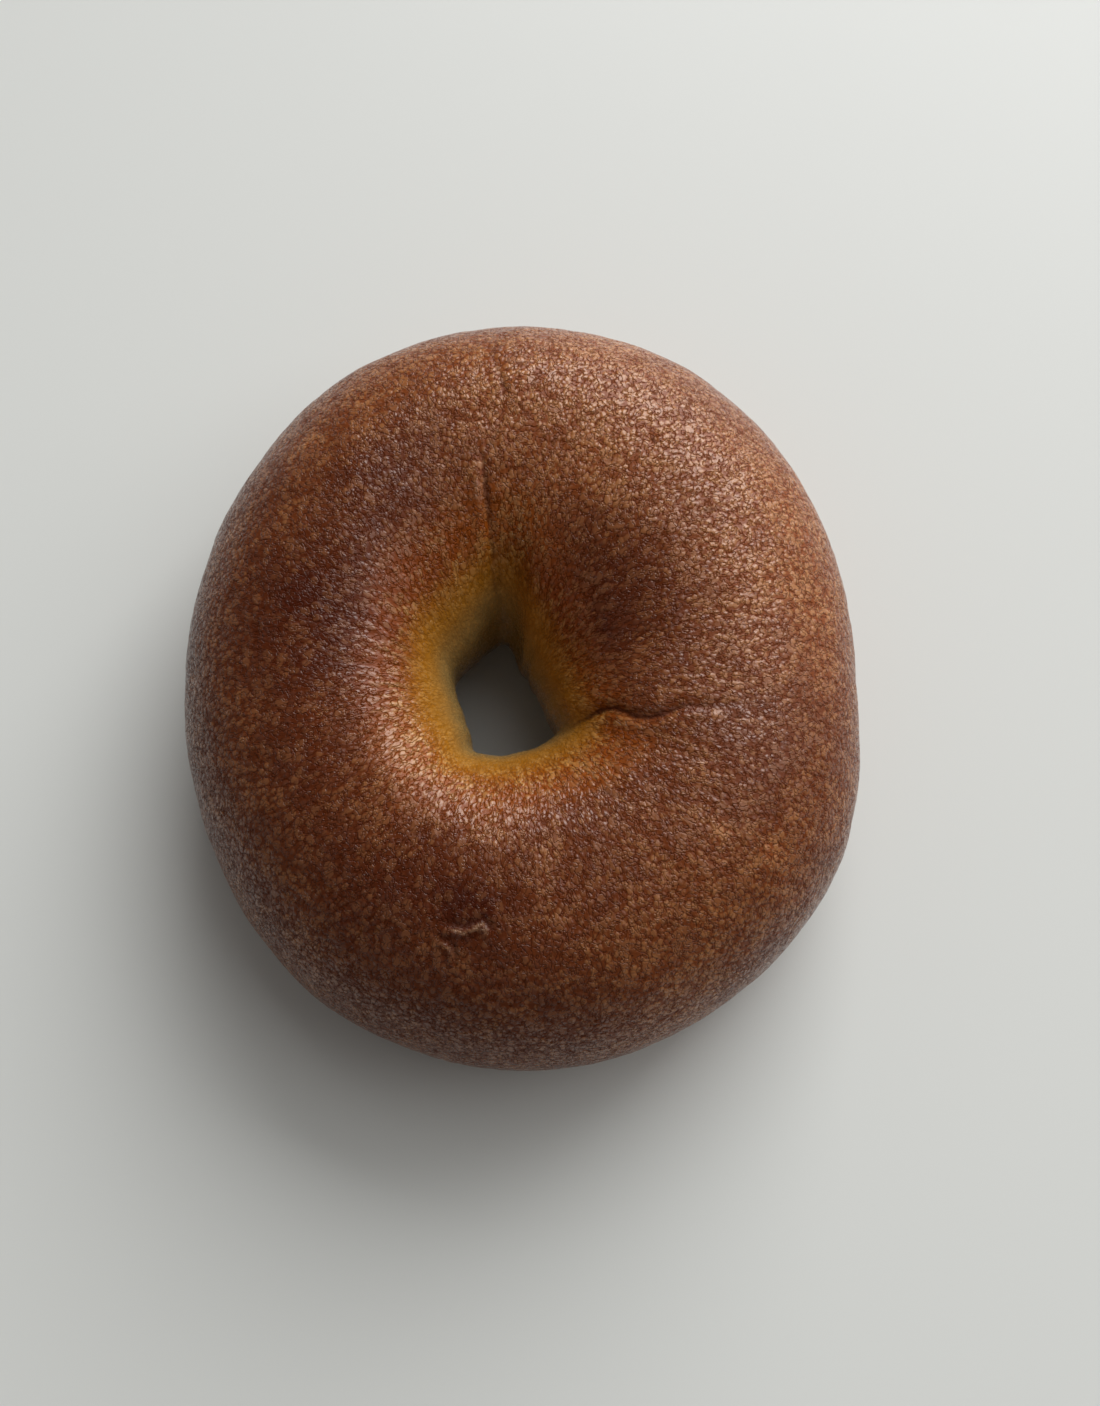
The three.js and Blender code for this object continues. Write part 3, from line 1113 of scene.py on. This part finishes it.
@dataclass(frozen=True)
class TableTop:
    """A plain pale table top."""

    width: float = 12.0
    colour: Colour = (0.685, 0.7, 0.675)
    roughness: float = 0.35

    def build(self) -> bpy.types.Object:
        """Lays the table top at z = 0.

        Returns:
            The table top.
        """
        half = self.width / 2
        corners = [(-half, -half, 0), (half, -half, 0), (half, half, 0), (-half, half, 0)]
        mesh = bpy.data.meshes.new("table_top")
        mesh.from_pydata(corners, [], [(0, 1, 2, 3)])
        material = bpy.data.materials.new("pale_table")
        material.use_nodes = True
        shader = material.node_tree.nodes["Principled BSDF"]
        shader.inputs["Base Color"].default_value = (*self.colour, 1)
        shader.inputs["Roughness"].default_value = self.roughness
        mesh.materials.append(material)
        table = placed("table_top", mesh)
        return table


@dataclass(frozen=True)
class SoftLight:
    """A large soft light that shines on the bagel."""

    name: str
    bearing: float  # where it stands, in degrees anticlockwise from +X
    elevation: float  # its height above the table, in degrees
    distance: float  # how far away it is
    width: float
    height: float
    brightness: float  # how bright its face looks
    colour: Colour

    def build(self) -> bpy.types.Object:
        """Hangs the light.

        Returns:
            The light.
        """
        lamp = bpy.data.lights.new(self.name, "AREA")
        lamp.shape = "RECTANGLE"
        lamp.size, lamp.size_y = self.width, self.height
        lamp.energy = self.brightness * math.pi * self.width * self.height
        lamp.color = self.colour
        light = placed(self.name, lamp)
        turn, lift = math.radians(self.bearing), math.radians(self.elevation)
        away = Vector((math.cos(turn) * math.cos(lift), math.sin(turn) * math.cos(lift), math.sin(lift)))
        light.location = away * self.distance
        light.rotation_euler = away.to_track_quat("Z", "Y").to_euler()
        return light


@dataclass(frozen=True)
class Studio:
    """Soft window light from the far right, and a dim room around."""

    room: Colour = (1.0, 0.96, 0.93)  # colour of the room's light
    room_strength: float = 0.175  # strength of the room's light
    lights: tuple[SoftLight, ...] = (
        SoftLight("window", 64, 31, 3.0, 2.6, 2.6, 4.6, (1.0, 1.0, 1.0)),
        SoftLight("lit_wall", 42, 42, 3.6, 6.0, 5.4, 1.0, (1.0, 1.0, 1.0)),
    )

    def build(self) -> None:
        """Sets the room's light and hangs the lights."""
        world = bpy.data.worlds.new("dim_room")
        bpy.context.scene.world = world
        world.use_nodes = True
        background = world.node_tree.nodes["Background"]
        background.inputs["Color"].default_value = (*self.room, 1)
        background.inputs["Strength"].default_value = self.room_strength
        for light in self.lights:
            light.build()
        bpy.context.scene.view_settings.view_transform = "Standard"


@dataclass(frozen=True)
class CameraStand:
    """A hand-held camera above the near side, looking down."""

    aim: tuple[float, float, float] = (4.15 * MM, 2.03 * MM, 0.0)  # the point on the table that it looks at
    distance: float = 310 * MM  # its distance from that point
    elevation: float = 76  # how far it looks down, in degrees
    frame_height: float = 1406  # height of the picture in pixels
    focal_pixels: float = 2000  # focal length in pixels
    nearest: float = 10 * MM  # distance within which it sees nothing

    def build(self) -> bpy.types.Object:
        """Sets up the camera and makes it the scene's own.

        Returns:
            The camera.
        """
        lens = bpy.data.cameras.new("camera")
        lens.lens = self.focal_pixels / self.frame_height * lens.sensor_width
        lens.clip_start = self.nearest
        camera = placed("camera", lens)
        tilt = math.radians(self.elevation)
        camera.location = Vector(self.aim) + self.distance * Vector((0, -math.cos(tilt), math.sin(tilt)))
        camera.rotation_euler = Euler((math.pi / 2 - tilt, 0, 0))
        bpy.context.scene.camera = camera
        return camera


def report(pieces: Iterable[bpy.types.Object]) -> None:
    """Logs each piece's size and number of faces."""
    for piece in pieces:
        size = ", ".join(f"{side / MM:.1f}" for side in piece.dimensions)
        log.info("%s: %s mm, %d faces", piece.name, size, len(piece.data.polygons))


def main() -> None:
    """Builds the bagel, the table, the light and the camera, and writes the sizes."""
    logging.basicConfig(level=logging.INFO, format="%(name)s: %(message)s")
    bagel = Bagel().build()
    TableTop().build()
    Studio().build()
    CameraStand().build()
    report([bagel])


if __name__ == "__main__":
    main()
